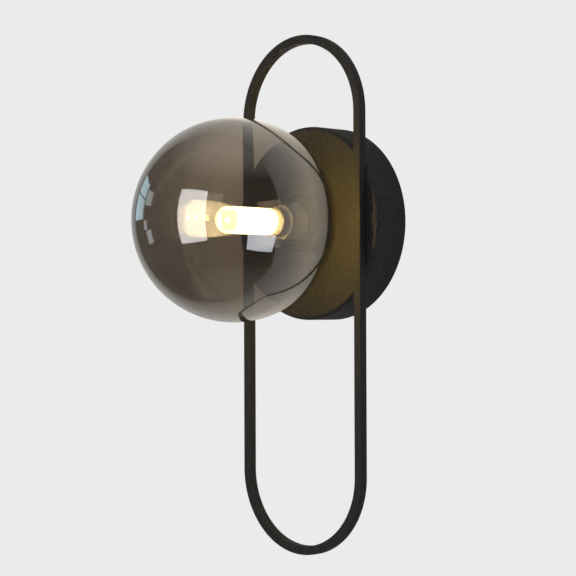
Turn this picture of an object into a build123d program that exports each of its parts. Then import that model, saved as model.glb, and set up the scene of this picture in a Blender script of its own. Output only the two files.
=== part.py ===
from build123d import *
import os
from math import cos, radians, sin, sqrt

os.makedirs("parts", exist_ok=True)

# A wall sconce: a round canopy on the wall, an oval ring of rectangular bar lying on the canopy's
# face, and a glass globe in front of both with a capsule lamp inside. The wall is the plane Y = 0,
# the room is at -Y, +X is to the right as seen from the room and +Z is up. The origin lies on the
# wall, on the axis of canopy, globe and lamp. "Distance" below means distance from the wall.

# ---- Driving dimensions, in millimetres ----

# canopy: a pressed steel pan, open to the wall, with a shallow well in the middle of its face
canopy_diameter = 120.0
canopy_depth = 25.0
canopy_wall = 1.2
canopy_edge_radius = 2.5
well_depth = 5.5
well_edge_radius = 1.2
well_clearance = 2.2

# ring: a closed oval of square bar, whose legs cross the canopy's face inside its edge
ring_inset = 9.5
ring_height = 321.5
bar_width = 5.5
bar_depth = 5.5
bar_edge_radius = 0.5
ring_drop = 44.2
ring_screw_spacing = 24.0
ring_screw_bite = 3.2

# globe
globe_diameter = 122.0
glass_wall = 2.0
globe_gap = 0.5
neck_wall = 3.0
neck_fillet = 2.0
seal_thickness = 1.2

# threaded carrier round the socket
carrier_radius = 14.0
carrier_wall = 1.6
carrier_floor = 2.0
carrier_height = 17.5
carrier_mouth = 1.8
thread_height = 8.0
thread_relief = 0.7

# ceramic socket
socket_radius = 10.6
socket_front = 27.5
recess_depth = 5.2
cavity_depth = 4.0
circlip_thickness = 1.0
circlip_groove = 0.6
circlip_gap_angle = 40.0
contact_thickness = 0.6
contact_width = 2.6

# capsule lamp
bulb_radius = 8.2
bulb_length = 49.8
bulb_base_height = 5.0
bulb_wall = 1.0
bulb_end_radius = 5.0
tongue_length = 13.6
tongue_thickness = 4.6
tongue_depth = 4.6
pin_spacing = 9.0
pin_loop_radius = 1.0
pin_wire_radius = 0.35
pin_length = 8.0
core_width = 8.0
core_end_gap = 6.5
chip_width = 2.2
chip_length = 3.0
chip_height = 0.7
chip_pitch = 5.2
chip_rows = 7

# hollow nipple with its washer and nut
nipple_radius = 5.0
nipple_bore_radius = 3.6
nipple_end = 1.3
nipple_washer_thickness = 0.8
nipple_washer_radius = 8.4
washer_teeth = 16
nut_height = 3.2
nut_flat_radius = 7.0

# wall bracket
bracket_thickness = 2.0
strap_width = 26.0
tab_width = 14.0
tab_height = 17.0
tab_shoulder = 8.0
slot_spacing = 60.0
slot_width = 5.0
slot_length = 14.0
wing_reach = 43.0
canopy_screw_distance = 12.0
cable_hole_drop = 12.0
cable_hole_radius = 6.5
bush_wall = 2.0
bush_flange = 1.5
bush_flange_thickness = 1.2

# screws
canopy_screw_radius = 2.0
canopy_screw_length = 8.0
canopy_screw_sink = 0.2
canopy_screw_socket = 1.15
ring_screw_radius = 1.5
ring_screw_head_radius = 2.8
ring_screw_head_height = 2.0
ring_washer_thickness = 0.5
ring_washer_rim = 0.6
slot_in_head = 0.8

# terminal block
terminal_pitch = 10.0
terminal_length = 32.0
terminal_width = 17.0
terminal_height = 13.0
terminal_centre = 33.0
terminal_entry = 5.0
terminal_tube_radius = 2.4
terminal_tube_wall = 0.8
terminal_tube_recess = 1.0
terminal_screw_radius = 1.25
terminal_screw_offset = 4.0
terminal_screw_sink = 1.0
fixing_screw_radius = 1.5
fixing_screw_head_radius = 2.4
fixing_screw_head_height = 1.6

# earth point
earth_from_tab = 10.0
earth_side = 5.0
earth_screw_radius = 2.0
earth_head_radius = 3.6
earth_head_height = 2.4
earth_washer_thickness = 0.6
earth_tag_thickness = 0.8
earth_tag_rim = 2.0
tag_barrel_wall = 0.6
tag_barrel_length = 5.0

# leads
lead_radius = 1.0
lead_spacing = 3.0
lead_in_tube = 5.0

# clearances
thread_clearance = 0.05
screw_clearance = 0.2
neck_clearance = 0.3
seat_gap = 0.2
socket_clearance = 0.1
tongue_clearance = 0.4
pin_clearance = 0.3
lead_clearance = 0.1
rim_clearance = 0.5

# ---- Worked-out places and sizes ----

canopy_radius = canopy_diameter / 2
canopy_inside = canopy_radius - canopy_wall
back_of_face = canopy_depth - canopy_wall
well_floor = canopy_depth - well_depth
well_back = well_floor - canopy_wall

ring_width = canopy_diameter - 2 * ring_inset
leg_place = (ring_width - bar_width) / 2
ring_screw_places = [(x, z) for x in (-leg_place, leg_place)
                     for z in (-ring_screw_spacing / 2, ring_screw_spacing / 2)]

globe_radius = globe_diameter / 2
globe_centre = canopy_depth + globe_gap + globe_radius
neck_bore = carrier_radius + neck_clearance
neck_radius = neck_bore + neck_wall
neck_end = well_floor + seal_thickness + seat_gap
well_radius = neck_radius + well_clearance

carrier_inside = carrier_radius - carrier_wall
socket_seat = well_floor + carrier_floor
carrier_front = well_floor + carrier_height
circlip_back = carrier_front - carrier_mouth - circlip_thickness
socket_flange_radius = carrier_inside - socket_clearance
socket_end = well_floor + socket_front
recess_floor = socket_end - recess_depth
cavity_end = socket_seat + cavity_depth
cavity_radius = pin_spacing / 2 + contact_width / 2 + pin_loop_radius
chamber_length = 2 * (pin_loop_radius + pin_wire_radius + pin_clearance)
chamber_half = pin_wire_radius + pin_clearance + contact_thickness

bulb_seat = socket_end + seat_gap
bulb_tip = bulb_seat + bulb_length
cover_start = bulb_seat + bulb_base_height
core_end = bulb_tip - bulb_wall - core_end_gap

washer_back = well_back - nipple_washer_thickness
nut_back = washer_back - nut_height
nipple_back = nut_back - nipple_end

tab_outside = sqrt((canopy_inside - rim_clearance) ** 2 - (tab_width / 2) ** 2)
tab_inside = tab_outside - bracket_thickness
strap_end = tab_inside - tab_shoulder + bracket_thickness
earth_height = tab_inside - earth_from_tab

block_back = bracket_thickness
block_front = block_back + terminal_height
entry_distance = block_back + terminal_entry
block_right = -terminal_centre + terminal_width / 2
tube_length = terminal_width - 2 * terminal_tube_recess
pole_heights = [-terminal_pitch, 0.0, terminal_pitch]
terminal_screw_places = [(-terminal_centre + side * terminal_screw_offset, z)
                         for side in (-1, 1) for z in pole_heights]
fixing_height = terminal_pitch / 2

# ---- Planes ----

# radius to the right, distance from the wall upwards
half_section = Plane(origin=(0, 0, 0), x_dir=(1, 0, 0), z_dir=(0, 0, -1))


def facing_room(distance, x=0.0, z=0.0):
    """A plane parallel to the wall that faces the room: x to the right, y up."""
    return Plane(origin=(x, -distance, z), x_dir=(1, 0, 0), z_dir=(0, -1, 0))


def facing_wall(distance, x=0.0, z=0.0):
    """A plane parallel to the wall that faces the wall."""
    return Plane(origin=(x, -distance, z), x_dir=(1, 0, 0), z_dir=(0, 1, 0))


def facing_up(height, x=0.0, distance=0.0):
    """A level plane that faces up: x to the right, y towards the wall."""
    return Plane(origin=(x, -distance, height), x_dir=(1, 0, 0), z_dir=(0, 0, 1))


def facing_right(x, distance=0.0, z=0.0):
    """A plane square to the X axis that faces right: x towards the wall, y up."""
    return Plane(origin=(x, -distance, z), x_dir=(0, 1, 0), z_dir=(1, 0, 0))


def spun_outline(points):
    """A solid spun about the lamp's axis from a closed outline of (radius, distance) points."""
    with BuildPart() as spun:
        with BuildSketch(half_section):
            with BuildLine():
                Polyline(*points, close=True)
            make_face()
        revolve(axis=Axis.Y)
    return spun.part


def pan_screw(seat, shank_radius, shank_length, head_radius, head_height):
    """A slotted pan head screw: its head stands on the seat plane, its shank goes the other way."""
    with BuildPart() as screw:
        with BuildSketch(seat):
            Circle(head_radius)
        extrude(amount=head_height)
        with BuildSketch(seat.offset(-shank_length)):
            Circle(shank_radius)
        extrude(amount=shank_length)
        with BuildSketch(seat.offset(head_height)):
            Rectangle(2 * head_radius, slot_in_head)
        extrude(amount=-head_height / 2, mode=Mode.SUBTRACT)
    return screw.part


def lead_tube(route, share=0.45):
    """A round lead swept along straight runs, joined by arcs as large as the runs allow."""
    corners = [Vector(*point) for point in route]
    runs = [after - before for before, after in zip(corners, corners[1:])]
    bends = []
    for before, after in zip(runs, runs[1:]):
        half_turn = radians(before.get_angle(after) / 2)
        bends.append(share * min(before.length, after.length) * cos(half_turn) / sin(half_turn))
    print("lead bend radii", [round(bend, 1) for bend in bends])
    with BuildPart() as tube:
        with BuildLine() as way:
            FilletPolyline(*route, radius=bends)
        with BuildSketch(Plane(origin=route[0], z_dir=runs[0])):
            Circle(lead_radius)
        sweep(path=way.line)
    return tube.part


# ---- Canopy ----

with BuildPart() as canopy_shell:
    edge_place = canopy_radius - canopy_edge_radius
    edge_distance = canopy_depth - canopy_edge_radius
    inner_edge_radius = canopy_edge_radius - canopy_wall
    well_outside = well_radius + canopy_wall
    floor_hole = nipple_radius + screw_clearance
    with BuildSketch(half_section):
        with BuildLine():
            Line((canopy_inside, 0), (canopy_radius, 0))
            Line((canopy_radius, 0), (canopy_radius, edge_distance))
            CenterArc((edge_place, edge_distance), canopy_edge_radius, 0, 90)
            Line((edge_place, canopy_depth), (well_radius + well_edge_radius, canopy_depth))
            CenterArc((well_radius + well_edge_radius, canopy_depth - well_edge_radius),
                      well_edge_radius, 90, 90)
            Polyline((well_radius, canopy_depth - well_edge_radius), (well_radius, well_floor),
                     (floor_hole, well_floor), (floor_hole, well_back),
                     (well_outside, well_back), (well_outside, back_of_face),
                     (edge_place, back_of_face))
            CenterArc((edge_place, edge_distance), inner_edge_radius, 0, 90)
            Line((canopy_inside, edge_distance), (canopy_inside, 0))
        make_face()
    revolve(axis=Axis.Y)
    with BuildSketch(facing_room(canopy_depth)):
        with Locations(*ring_screw_places):
            Circle(ring_screw_radius + screw_clearance)
    extrude(amount=-2 * canopy_wall, mode=Mode.SUBTRACT)
    with BuildSketch(facing_up(-canopy_radius)):
        with Locations((0, -canopy_screw_distance)):
            Circle(canopy_screw_radius + screw_clearance)
    extrude(amount=2 * canopy_radius, mode=Mode.SUBTRACT)

# ---- Oval ring and its screws ----

with BuildPart() as ring_frame:
    with BuildSketch(facing_room(canopy_depth)):
        with Locations((0, -ring_drop)):
            SlotOverall(ring_height, ring_width, rotation=90)
            SlotOverall(ring_height - 2 * bar_width, ring_width - 2 * bar_width,
                        rotation=90, mode=Mode.SUBTRACT)
    extrude(amount=bar_depth)
    ring_rims = ring_frame.faces().filter_by(Axis.Y).edges()
    fillet(ring_rims, bar_edge_radius)
    with BuildSketch(facing_room(canopy_depth)):
        with Locations(*ring_screw_places):
            Circle(ring_screw_radius + thread_clearance)
    extrude(amount=ring_screw_bite, mode=Mode.SUBTRACT)

with BuildPart() as ring_washers:
    with BuildSketch(facing_room(back_of_face)):
        with Locations(*ring_screw_places):
            Circle(ring_screw_head_radius + ring_washer_rim)
            Circle(ring_screw_radius + screw_clearance, mode=Mode.SUBTRACT)
    extrude(amount=-ring_washer_thickness)

with BuildPart() as ring_screws:
    head_seat = back_of_face - ring_washer_thickness
    for place_x, place_z in ring_screw_places:
        add(pan_screw(facing_wall(head_seat, place_x, place_z), ring_screw_radius,
                      canopy_depth + ring_screw_bite - screw_clearance - head_seat,
                      ring_screw_head_radius, ring_screw_head_height))

# ---- Globe carrier, socket and its contacts ----

with BuildPart() as globe_carrier:
    relieved = carrier_radius - thread_relief
    thread_end = well_floor + thread_height
    groove_end = circlip_back + circlip_thickness
    tapped = nipple_radius + thread_clearance
    add(spun_outline([(tapped, well_floor), (carrier_radius, well_floor),
                      (carrier_radius, thread_end - thread_relief), (relieved, thread_end),
                      (relieved, carrier_front), (carrier_inside, carrier_front),
                      (carrier_inside, groove_end), (carrier_inside + circlip_groove, groove_end),
                      (carrier_inside + circlip_groove, circlip_back),
                      (carrier_inside, circlip_back), (carrier_inside, socket_seat),
                      (tapped, socket_seat)]))

with BuildPart() as lampholder_body:
    add(spun_outline([(cavity_radius, socket_seat), (socket_flange_radius, socket_seat),
                      (socket_flange_radius, circlip_back), (socket_radius, circlip_back),
                      (socket_radius, socket_end), (0, socket_end), (0, cavity_end),
                      (cavity_radius, cavity_end)]))
    with BuildSketch(facing_room(recess_floor)):
        SlotOverall(tongue_length + 2 * tongue_clearance, tongue_thickness + 2 * tongue_clearance,
                    rotation=90)
    extrude(amount=recess_depth, mode=Mode.SUBTRACT)
    with BuildSketch(facing_room(cavity_end)):
        with GridLocations(0, pin_spacing, 1, 2):
            Rectangle(2 * chamber_half, chamber_length)
    extrude(amount=recess_floor - cavity_end, mode=Mode.SUBTRACT)

with BuildPart() as lampholder_contacts:
    blade_start = cavity_end - contact_thickness
    blade_length = recess_floor - blade_start - contact_thickness
    for side in (-1, 1):
        tail_inner = side * lead_spacing / 2
        tail_outer = side * (pin_spacing + contact_width) / 2
        with BuildSketch(facing_room(blade_start)):
            with Locations((chamber_half - contact_thickness / 2, side * pin_spacing / 2)):
                Rectangle(contact_thickness, contact_width)
        extrude(amount=blade_length)
        with BuildSketch(facing_room(blade_start)):
            with Locations((0, (tail_inner + tail_outer) / 2)):
                Rectangle(2 * chamber_half, abs(tail_outer - tail_inner))
        extrude(amount=contact_thickness)

with BuildPart() as lampholder_circlip:
    with BuildSketch(facing_room(circlip_back)):
        Circle(carrier_inside + circlip_groove - thread_clearance)
        Circle(socket_radius + socket_clearance, mode=Mode.SUBTRACT)
        with BuildLine():
            gap_side = 2 * carrier_inside
            gap_half = radians(circlip_gap_angle / 2)
            Polyline((0, 0), (gap_side * sin(gap_half), gap_side * cos(gap_half)),
                     (-gap_side * sin(gap_half), gap_side * cos(gap_half)), close=True)
        make_face(mode=Mode.SUBTRACT)
    extrude(amount=circlip_thickness)

# ---- Nipple with its washer and nut ----

with BuildPart() as hollow_nipple:
    with BuildSketch(facing_room(nipple_back)):
        Circle(nipple_radius)
        Circle(nipple_bore_radius, mode=Mode.SUBTRACT)
    extrude(amount=socket_seat - nipple_back)

with BuildPart() as nipple_washer:
    with BuildSketch(facing_room(washer_back)):
        Circle(nipple_washer_radius)
        with PolarLocations(nipple_washer_radius, washer_teeth):
            Rectangle(nipple_washer_thickness, nipple_washer_thickness, mode=Mode.SUBTRACT)
        Circle(nipple_radius + screw_clearance, mode=Mode.SUBTRACT)
    extrude(amount=nipple_washer_thickness)

with BuildPart() as nipple_nut:
    with BuildSketch(facing_room(nut_back)):
        RegularPolygon(nut_flat_radius, 6, major_radius=False)
        Circle(nipple_radius + thread_clearance, mode=Mode.SUBTRACT)
    extrude(amount=nut_height)

# ---- Globe and its seal ----


def neck_bend(sphere_radius, side_radius, bend_radius):
    """Where a bend touches the neck's side and the sphere, as (radius, distance) points."""
    bend_place = side_radius + bend_radius
    reach = sphere_radius + bend_radius
    bend_distance = globe_centre - sqrt(reach ** 2 - bend_place ** 2)
    share = sphere_radius / reach
    on_sphere = (bend_place * share, globe_centre + (bend_distance - globe_centre) * share)
    return (side_radius, bend_distance), on_sphere


with BuildPart() as globe_glass:
    inner_radius = globe_radius - glass_wall
    outer_side, outer_sphere = neck_bend(globe_radius, neck_radius, neck_fillet)
    inner_side, inner_sphere = neck_bend(inner_radius, neck_bore, neck_fillet + glass_wall)
    outer_pole = (0, globe_centre + globe_radius)
    inner_pole = (0, globe_centre + inner_radius)
    with BuildSketch(half_section):
        with BuildLine():
            TangentArc(outer_pole, outer_sphere, tangent=(1, 0))
            TangentArc(outer_side, outer_sphere, tangent=(0, 1))
            Polyline(outer_side, (neck_radius, neck_end), (neck_bore, neck_end), inner_side)
            TangentArc(inner_side, inner_sphere, tangent=(0, 1))
            TangentArc(inner_pole, inner_sphere, tangent=(1, 0))
            Line(inner_pole, outer_pole)
        make_face()
    revolve(axis=Axis.Y)

with BuildPart() as neck_seal:
    with BuildSketch(facing_room(well_floor)):
        Circle(neck_radius)
        Circle(carrier_radius + screw_clearance, mode=Mode.SUBTRACT)
    extrude(amount=seal_thickness)

# ---- Capsule lamp ----

with BuildPart() as bulb_base:
    with BuildSketch(facing_room(bulb_seat)):
        Circle(bulb_radius)
    extrude(amount=bulb_base_height)
    with BuildSketch(facing_room(bulb_seat)):
        SlotOverall(tongue_length, tongue_thickness, rotation=90)
    extrude(amount=-tongue_depth)

with BuildPart() as bulb_pins:
    pin_root = bulb_seat - tongue_depth
    straight = pin_length - pin_loop_radius - pin_wire_radius
    for side in (-1, 1):
        middle = side * pin_spacing / 2
        near = middle - pin_loop_radius
        far = middle + pin_loop_radius
        turn = -pin_root + straight
        with BuildLine() as loop:
            Line((0, -pin_root, near), (0, turn, near))
            ThreePointArc((0, turn, near), (0, turn + pin_loop_radius, middle), (0, turn, far))
            Line((0, turn, far), (0, -pin_root, far))
        with BuildSketch(facing_wall(pin_root, 0, near)):
            Circle(pin_wire_radius)
        sweep(path=loop.line)

with BuildPart() as bulb_cover:
    end_bend = bulb_tip - bulb_end_radius
    end_place = bulb_radius - bulb_end_radius
    bore = bulb_radius - bulb_wall
    inner_tip = bulb_tip - bulb_wall
    with BuildSketch(half_section):
        with BuildLine():
            Polyline((bore, end_bend), (bore, cover_start), (bulb_radius, cover_start),
                     (bulb_radius, end_bend))
            CenterArc((end_place, end_bend), bulb_end_radius, 0, 90)
            Polyline((end_place, bulb_tip), (0, bulb_tip), (0, inner_tip), (end_place, inner_tip))
            CenterArc((end_place, end_bend), bulb_end_radius - bulb_wall, 0, 90)
        make_face()
    revolve(axis=Axis.Y)

with BuildPart() as bulb_core:
    with BuildSketch(facing_room(cover_start)):
        Rectangle(core_width, core_width)
    extrude(amount=core_end - cover_start)

with BuildPart() as bulb_chips:
    chip_start = (cover_start + core_end) / 2 - chip_pitch * (chip_rows - 1) / 2
    for row in range(chip_rows):
        chip_middle = chip_start + row * chip_pitch
        with BuildSketch(facing_room(chip_middle - chip_length / 2)):
            with PolarLocations((core_width + chip_height) / 2, 4):
                Rectangle(chip_height, chip_width)
        extrude(amount=chip_length)
    with BuildSketch(facing_room(core_end)):
        Rectangle(chip_length, chip_width)
    extrude(amount=chip_height)

# ---- Wall bracket, cable bush and canopy screws ----

with BuildPart() as wall_bracket:
    with BuildSketch(facing_room(0)):
        Rectangle(strap_width, 2 * strap_end)
        Rectangle(tab_width, 2 * tab_outside)
        with Locations((-wing_reach / 2, 0)):
            Rectangle(wing_reach, terminal_length)
        with Locations((0, -cable_hole_drop)):
            Circle(cable_hole_radius, mode=Mode.SUBTRACT)
        with GridLocations(0, slot_spacing, 1, 2):
            SlotOverall(slot_length, slot_width, rotation=90, mode=Mode.SUBTRACT)
        with Locations((earth_side, earth_height)):
            Circle(earth_screw_radius + thread_clearance, mode=Mode.SUBTRACT)
        with Locations((-terminal_centre, fixing_height)):
            Circle(fixing_screw_radius + thread_clearance, mode=Mode.SUBTRACT)
    extrude(amount=bracket_thickness)
    with BuildSketch(facing_room(0)):
        with GridLocations(0, tab_inside + tab_outside, 1, 2):
            Rectangle(tab_width, bracket_thickness)
    extrude(amount=tab_height)
    with BuildSketch(facing_up(-canopy_radius)):
        with Locations((0, -canopy_screw_distance)):
            Circle(canopy_screw_radius + thread_clearance)
    extrude(amount=2 * canopy_radius, mode=Mode.SUBTRACT)

with BuildPart() as cable_bush:
    bush_bore = cable_hole_radius - bush_wall
    with BuildSketch(facing_room(0, 0, -cable_hole_drop)):
        Circle(cable_hole_radius - thread_clearance)
        Circle(bush_bore, mode=Mode.SUBTRACT)
    extrude(amount=bracket_thickness)
    with BuildSketch(facing_room(bracket_thickness, 0, -cable_hole_drop)):
        Circle(cable_hole_radius + bush_flange)
        Circle(bush_bore, mode=Mode.SUBTRACT)
    extrude(amount=bush_flange_thickness)

with BuildPart() as canopy_screws:
    for end_plane in (facing_up(canopy_radius, 0, canopy_screw_distance),
                      -facing_up(-canopy_radius, 0, canopy_screw_distance)):
        with BuildSketch(end_plane.offset(-canopy_screw_sink)):
            Circle(canopy_screw_radius)
        extrude(amount=-canopy_screw_length)
        with BuildSketch(end_plane.offset(-canopy_screw_sink)):
            RegularPolygon(canopy_screw_socket, 6)
        extrude(amount=-canopy_screw_length / 3, mode=Mode.SUBTRACT)

# ---- Terminal block ----

with BuildPart() as terminal_block:
    with BuildSketch(facing_room(block_back)):
        with Locations((-terminal_centre, 0)):
            Rectangle(terminal_width, terminal_length)
    extrude(amount=terminal_height)
    for pole in pole_heights:
        with BuildSketch(facing_right(block_right, entry_distance, pole)):
            Circle(terminal_tube_radius)
        extrude(amount=-terminal_width, mode=Mode.SUBTRACT)
    with BuildSketch(facing_room(entry_distance)):
        with Locations(*terminal_screw_places):
            Circle(terminal_screw_radius + screw_clearance)
    extrude(amount=block_front - entry_distance, mode=Mode.SUBTRACT)
    with BuildSketch(facing_room(block_back)):
        with Locations((-terminal_centre, fixing_height)):
            Circle(fixing_screw_radius + screw_clearance)
    extrude(amount=terminal_height, mode=Mode.SUBTRACT)
    with BuildSketch(facing_room(block_front)):
        with Locations((-terminal_centre, fixing_height)):
            Circle(fixing_screw_head_radius + screw_clearance)
    extrude(amount=-fixing_screw_head_height, mode=Mode.SUBTRACT)

with BuildPart() as terminal_contacts:
    for pole in pole_heights:
        with BuildSketch(facing_right(block_right - terminal_tube_recess, entry_distance, pole)):
            Circle(terminal_tube_radius)
            Circle(terminal_tube_radius - terminal_tube_wall, mode=Mode.SUBTRACT)
        extrude(amount=-tube_length)
    with BuildSketch(facing_room(entry_distance)):
        with Locations(*terminal_screw_places):
            Circle(terminal_screw_radius + thread_clearance)
    extrude(amount=terminal_tube_radius, mode=Mode.SUBTRACT)

with BuildPart() as terminal_screws:
    screw_top = block_front - terminal_screw_sink
    screw_tip = entry_distance + lead_radius + lead_clearance
    with BuildSketch(facing_room(screw_tip)):
        with Locations(*terminal_screw_places):
            Circle(terminal_screw_radius)
    extrude(amount=screw_top - screw_tip)
    with BuildSketch(facing_room(screw_top)):
        with Locations(*terminal_screw_places):
            Rectangle(2 * terminal_screw_radius, slot_in_head / 2)
    extrude(amount=-slot_in_head, mode=Mode.SUBTRACT)

with BuildPart() as terminal_fixing_screw:
    add(pan_screw(facing_room(block_front - fixing_screw_head_height, -terminal_centre, fixing_height),
                  fixing_screw_radius, block_front - fixing_screw_head_height - screw_clearance,
                  fixing_screw_head_radius, fixing_screw_head_height))

# ---- Earth point ----

tag_front = bracket_thickness + earth_tag_thickness
barrel_radius = lead_radius + lead_clearance + tag_barrel_wall
barrel_distance = bracket_thickness + barrel_radius
ring_reach = earth_screw_radius + screw_clearance + earth_tag_rim
barrel_start = earth_side - ring_reach

with BuildPart() as earth_tag:
    with BuildSketch(facing_room(bracket_thickness)):
        with Locations((earth_side, earth_height)):
            Circle(ring_reach)
        with Locations(((barrel_start + earth_side) / 2, earth_height)):
            Rectangle(ring_reach, 2 * barrel_radius)
        with Locations((earth_side, earth_height)):
            Circle(earth_screw_radius + screw_clearance, mode=Mode.SUBTRACT)
    extrude(amount=earth_tag_thickness)
    with BuildSketch(facing_right(barrel_start, barrel_distance, earth_height)):
        Circle(barrel_radius)
    extrude(amount=-tag_barrel_length)
    with BuildSketch(facing_right(barrel_start, barrel_distance, earth_height)):
        Circle(lead_radius + lead_clearance)
    extrude(amount=-tag_barrel_length, mode=Mode.SUBTRACT)

with BuildPart() as earth_washer:
    with BuildSketch(facing_room(tag_front)):
        with Locations((earth_side, earth_height)):
            Circle(earth_head_radius)
            Circle(earth_screw_radius + screw_clearance, mode=Mode.SUBTRACT)
    extrude(amount=earth_washer_thickness)

with BuildPart() as earth_screw:
    earth_seat = tag_front + earth_washer_thickness
    add(pan_screw(facing_room(earth_seat, earth_side, earth_height), earth_screw_radius,
                  earth_seat - screw_clearance, earth_head_radius, earth_head_height))

# ---- Leads ----

lead_start = cavity_end - contact_thickness
lead_run = -entry_distance
tube_inside = block_right - terminal_tube_recess - lead_in_tube
run_start = block_right + terminal_width / 2

with BuildPart() as live_lead:
    add(lead_tube([(0, -lead_start, lead_spacing / 2), (0, lead_run, lead_spacing / 2),
                   (run_start, lead_run, pole_heights[1]), (tube_inside, lead_run, pole_heights[1])]))

with BuildPart() as neutral_lead:
    add(lead_tube([(0, -lead_start, -lead_spacing / 2), (0, lead_run, -lead_spacing / 2),
                   (run_start, lead_run, pole_heights[0]), (tube_inside, lead_run, pole_heights[0])]))

with BuildPart() as earth_lead:
    add(lead_tube([(tube_inside, lead_run, pole_heights[2]), (run_start, lead_run, pole_heights[2]),
                   (run_start, -barrel_distance, earth_height),
                   (barrel_start - tag_barrel_length / 4, -barrel_distance, earth_height)]))

# ---- Labels and files ----

pieces = {
    "canopy_shell": canopy_shell,
    "ring_frame": ring_frame,
    "ring_washers": ring_washers,
    "ring_screws": ring_screws,
    "globe_carrier": globe_carrier,
    "lampholder_body": lampholder_body,
    "lampholder_contacts": lampholder_contacts,
    "lampholder_circlip": lampholder_circlip,
    "hollow_nipple": hollow_nipple,
    "nipple_washer": nipple_washer,
    "nipple_nut": nipple_nut,
    "globe_glass": globe_glass,
    "neck_seal": neck_seal,
    "bulb_base": bulb_base,
    "bulb_pins": bulb_pins,
    "bulb_cover": bulb_cover,
    "bulb_core": bulb_core,
    "bulb_chips": bulb_chips,
    "wall_bracket": wall_bracket,
    "cable_bush": cable_bush,
    "canopy_screws": canopy_screws,
    "terminal_block": terminal_block,
    "terminal_contacts": terminal_contacts,
    "terminal_screws": terminal_screws,
    "terminal_fixing_screw": terminal_fixing_screw,
    "earth_tag": earth_tag,
    "earth_washer": earth_washer,
    "earth_screw": earth_screw,
    "live_lead": live_lead,
    "neutral_lead": neutral_lead,
    "earth_lead": earth_lead,
}

for name, piece in pieces.items():
    piece.part.label = name
    export_step(piece.part, f"parts/{name}.step")
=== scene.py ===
"""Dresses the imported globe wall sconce: black canopy and ring, smoke glass globe, lamp and wiring."""

import math

import bmesh
import bpy
from mathutils import Matrix, Vector


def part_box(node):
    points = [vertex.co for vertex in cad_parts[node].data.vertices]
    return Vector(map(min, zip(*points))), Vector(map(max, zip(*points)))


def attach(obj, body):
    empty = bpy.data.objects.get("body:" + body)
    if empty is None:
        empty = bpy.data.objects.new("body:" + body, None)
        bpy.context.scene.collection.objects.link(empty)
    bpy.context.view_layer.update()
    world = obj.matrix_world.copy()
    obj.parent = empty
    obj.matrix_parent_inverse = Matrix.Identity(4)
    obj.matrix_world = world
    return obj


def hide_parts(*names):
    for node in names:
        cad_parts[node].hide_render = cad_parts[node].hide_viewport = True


bl_info = {
    "name": "Globe wall sconce",
    "version": (1, 0, 0),
    "blender": (4, 5, 0),
    "location": "3D View > Sidebar > Sconce",
    "description": "Finishes the globe wall sconce on its packed frame",
    "category": "Object",
}

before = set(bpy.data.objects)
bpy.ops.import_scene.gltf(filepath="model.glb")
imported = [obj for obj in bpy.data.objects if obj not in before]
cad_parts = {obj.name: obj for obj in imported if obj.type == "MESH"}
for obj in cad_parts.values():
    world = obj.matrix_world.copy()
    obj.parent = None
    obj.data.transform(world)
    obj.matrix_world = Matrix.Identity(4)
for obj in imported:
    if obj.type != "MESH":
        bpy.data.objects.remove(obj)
MM = 0.001
TINY = 1e-7


def box_size(node):
    """Width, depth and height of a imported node, in metres."""
    low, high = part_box(node)
    return high - low


def lowest(node):
    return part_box(node)[0]


def highest(node):
    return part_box(node)[1]


# ---- Sizes and colours ----

def length(name, description, default):
    return bpy.props.FloatProperty(name=name, description=description, default=default,
                                   min=0.0, unit="LENGTH", subtype="DISTANCE", precision=5)


def colour(name, description, default):
    return bpy.props.FloatVectorProperty(name=name, description=description, default=default,
                                         size=3, min=0.0, max=1.0, subtype="COLOR")


def number(name, description, default):
    return bpy.props.FloatProperty(name=name, description=description, default=default, min=0.0)


def angle(name, description, degrees):
    return bpy.props.FloatProperty(name=name, description=description,
                                   default=math.radians(degrees), unit="ROTATION", subtype="ANGLE")


class SconceSizes(bpy.types.PropertyGroup):
    """Sizes of the pieces that are made here."""
    bar_width: length("Bar width", "Width of the ring's bar, across the ring", 5.5 * MM)
    bar_edge: length("Bar edge", "Rounding along the bar's edges", 0.5 * MM)
    globe_wall: length("Glass wall", "Thickness of the globe's glass", 2 * MM)
    neck_outside: length("Neck outside", "Outer radius of the globe's neck", 17.3 * MM)
    neck_inside: length("Neck inside", "Inner radius of the globe's neck", 14.3 * MM)
    neck_outer_bend: length("Outer bend", "Bend radius where the neck meets the ball, outside", 2 * MM)
    neck_inner_bend: length("Inner bend", "Bend radius where the neck meets the ball, inside", 4 * MM)
    sleeve_bore: length("Sleeve bore", "Inner radius of the carrier's sleeve", 12.4 * MM)
    thread_ridge: length("Thread ridge", "Half height of the carrier's thread ridge", 0.6 * MM)
    thread_pitch: length("Thread pitch", "Rise of the thread in one turn", 2 * MM)
    thread_rise: length("Thread rise", "Length of the thread", 5.2 * MM)
    chip_length: length("Chip length", "Length of a light chip along the lamp", 3 * MM)
    chip_width: length("Chip width", "Width of a light chip", 2.2 * MM)
    chip_height: length("Chip height", "Height of a light chip over its board", 0.7 * MM)
    chip_spacing: length("Chip spacing", "Distance from one row of chips to the next", 4.6 * MM)
    chip_shift: length("Chip shift", "Shift of the rows from the core's middle to its tip", 2.4 * MM)
    chip_rows: bpy.props.IntProperty(name="Chip rows", description="Rows of chips on each side",
                                     default=7, min=1)


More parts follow.
